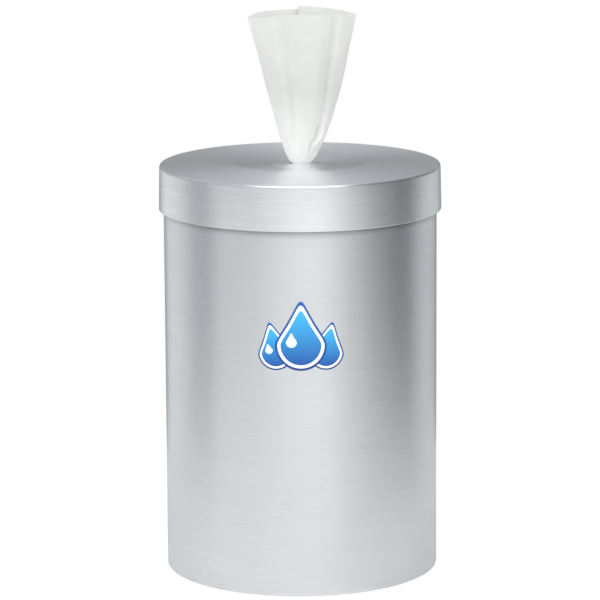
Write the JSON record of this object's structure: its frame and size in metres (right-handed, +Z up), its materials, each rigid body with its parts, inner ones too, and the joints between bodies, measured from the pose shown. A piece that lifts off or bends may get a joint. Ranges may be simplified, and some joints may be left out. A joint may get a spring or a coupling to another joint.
{
  "type": "wet wipes dispenser",
  "caption": "Brushed aluminium counter-top canister with a lift-off cap lid. Wipes from a centre-pull roll inside are drawn up one by one through a slit valve in the lid.",
  "frame": {"origin": "on the counter, under the centre of the canister", "axes": "+Z up along the canister's axis, -Y towards the front that the picture shows, +X to the right as seen from the front"},
  "size_m": [0.2102, 0.2102, 0.4208],
  "materials": {
    "brushed_aluminium": "brushed round the axis",
    "black_rubber": "matt",
    "grey_foam": "matt, fine cells",
    "grey_plastic": "moulded, satin",
    "silicone": "translucent, smooth",
    "clear_film": "clear, creased",
    "wipe_cloth": "moist nonwoven, finely embossed"
  },
  "bodies": {
    "canister": {"canister": "brushed_aluminium", "foot_1": "black_rubber", "foot_2": "black_rubber", "foot_3": "black_rubber", "foot_4": "black_rubber", "refill_bag": "clear_film", "wipe_roll": "wipe_cloth"},
    "lid": {"lid": "brushed_aluminium", "lid_gasket": "grey_foam", "nozzle_collar": "brushed_aluminium", "slit_valve": "silicone", "ring_nut": "grey_plastic", "wipe": "wipe_cloth"}
  },
  "joints": [
    {"name": "lid_lift", "type": "slide", "parent": "canister", "child": "lid", "axis": [0, 0, 1], "range_m": [0, 0.08]}
  ]
}
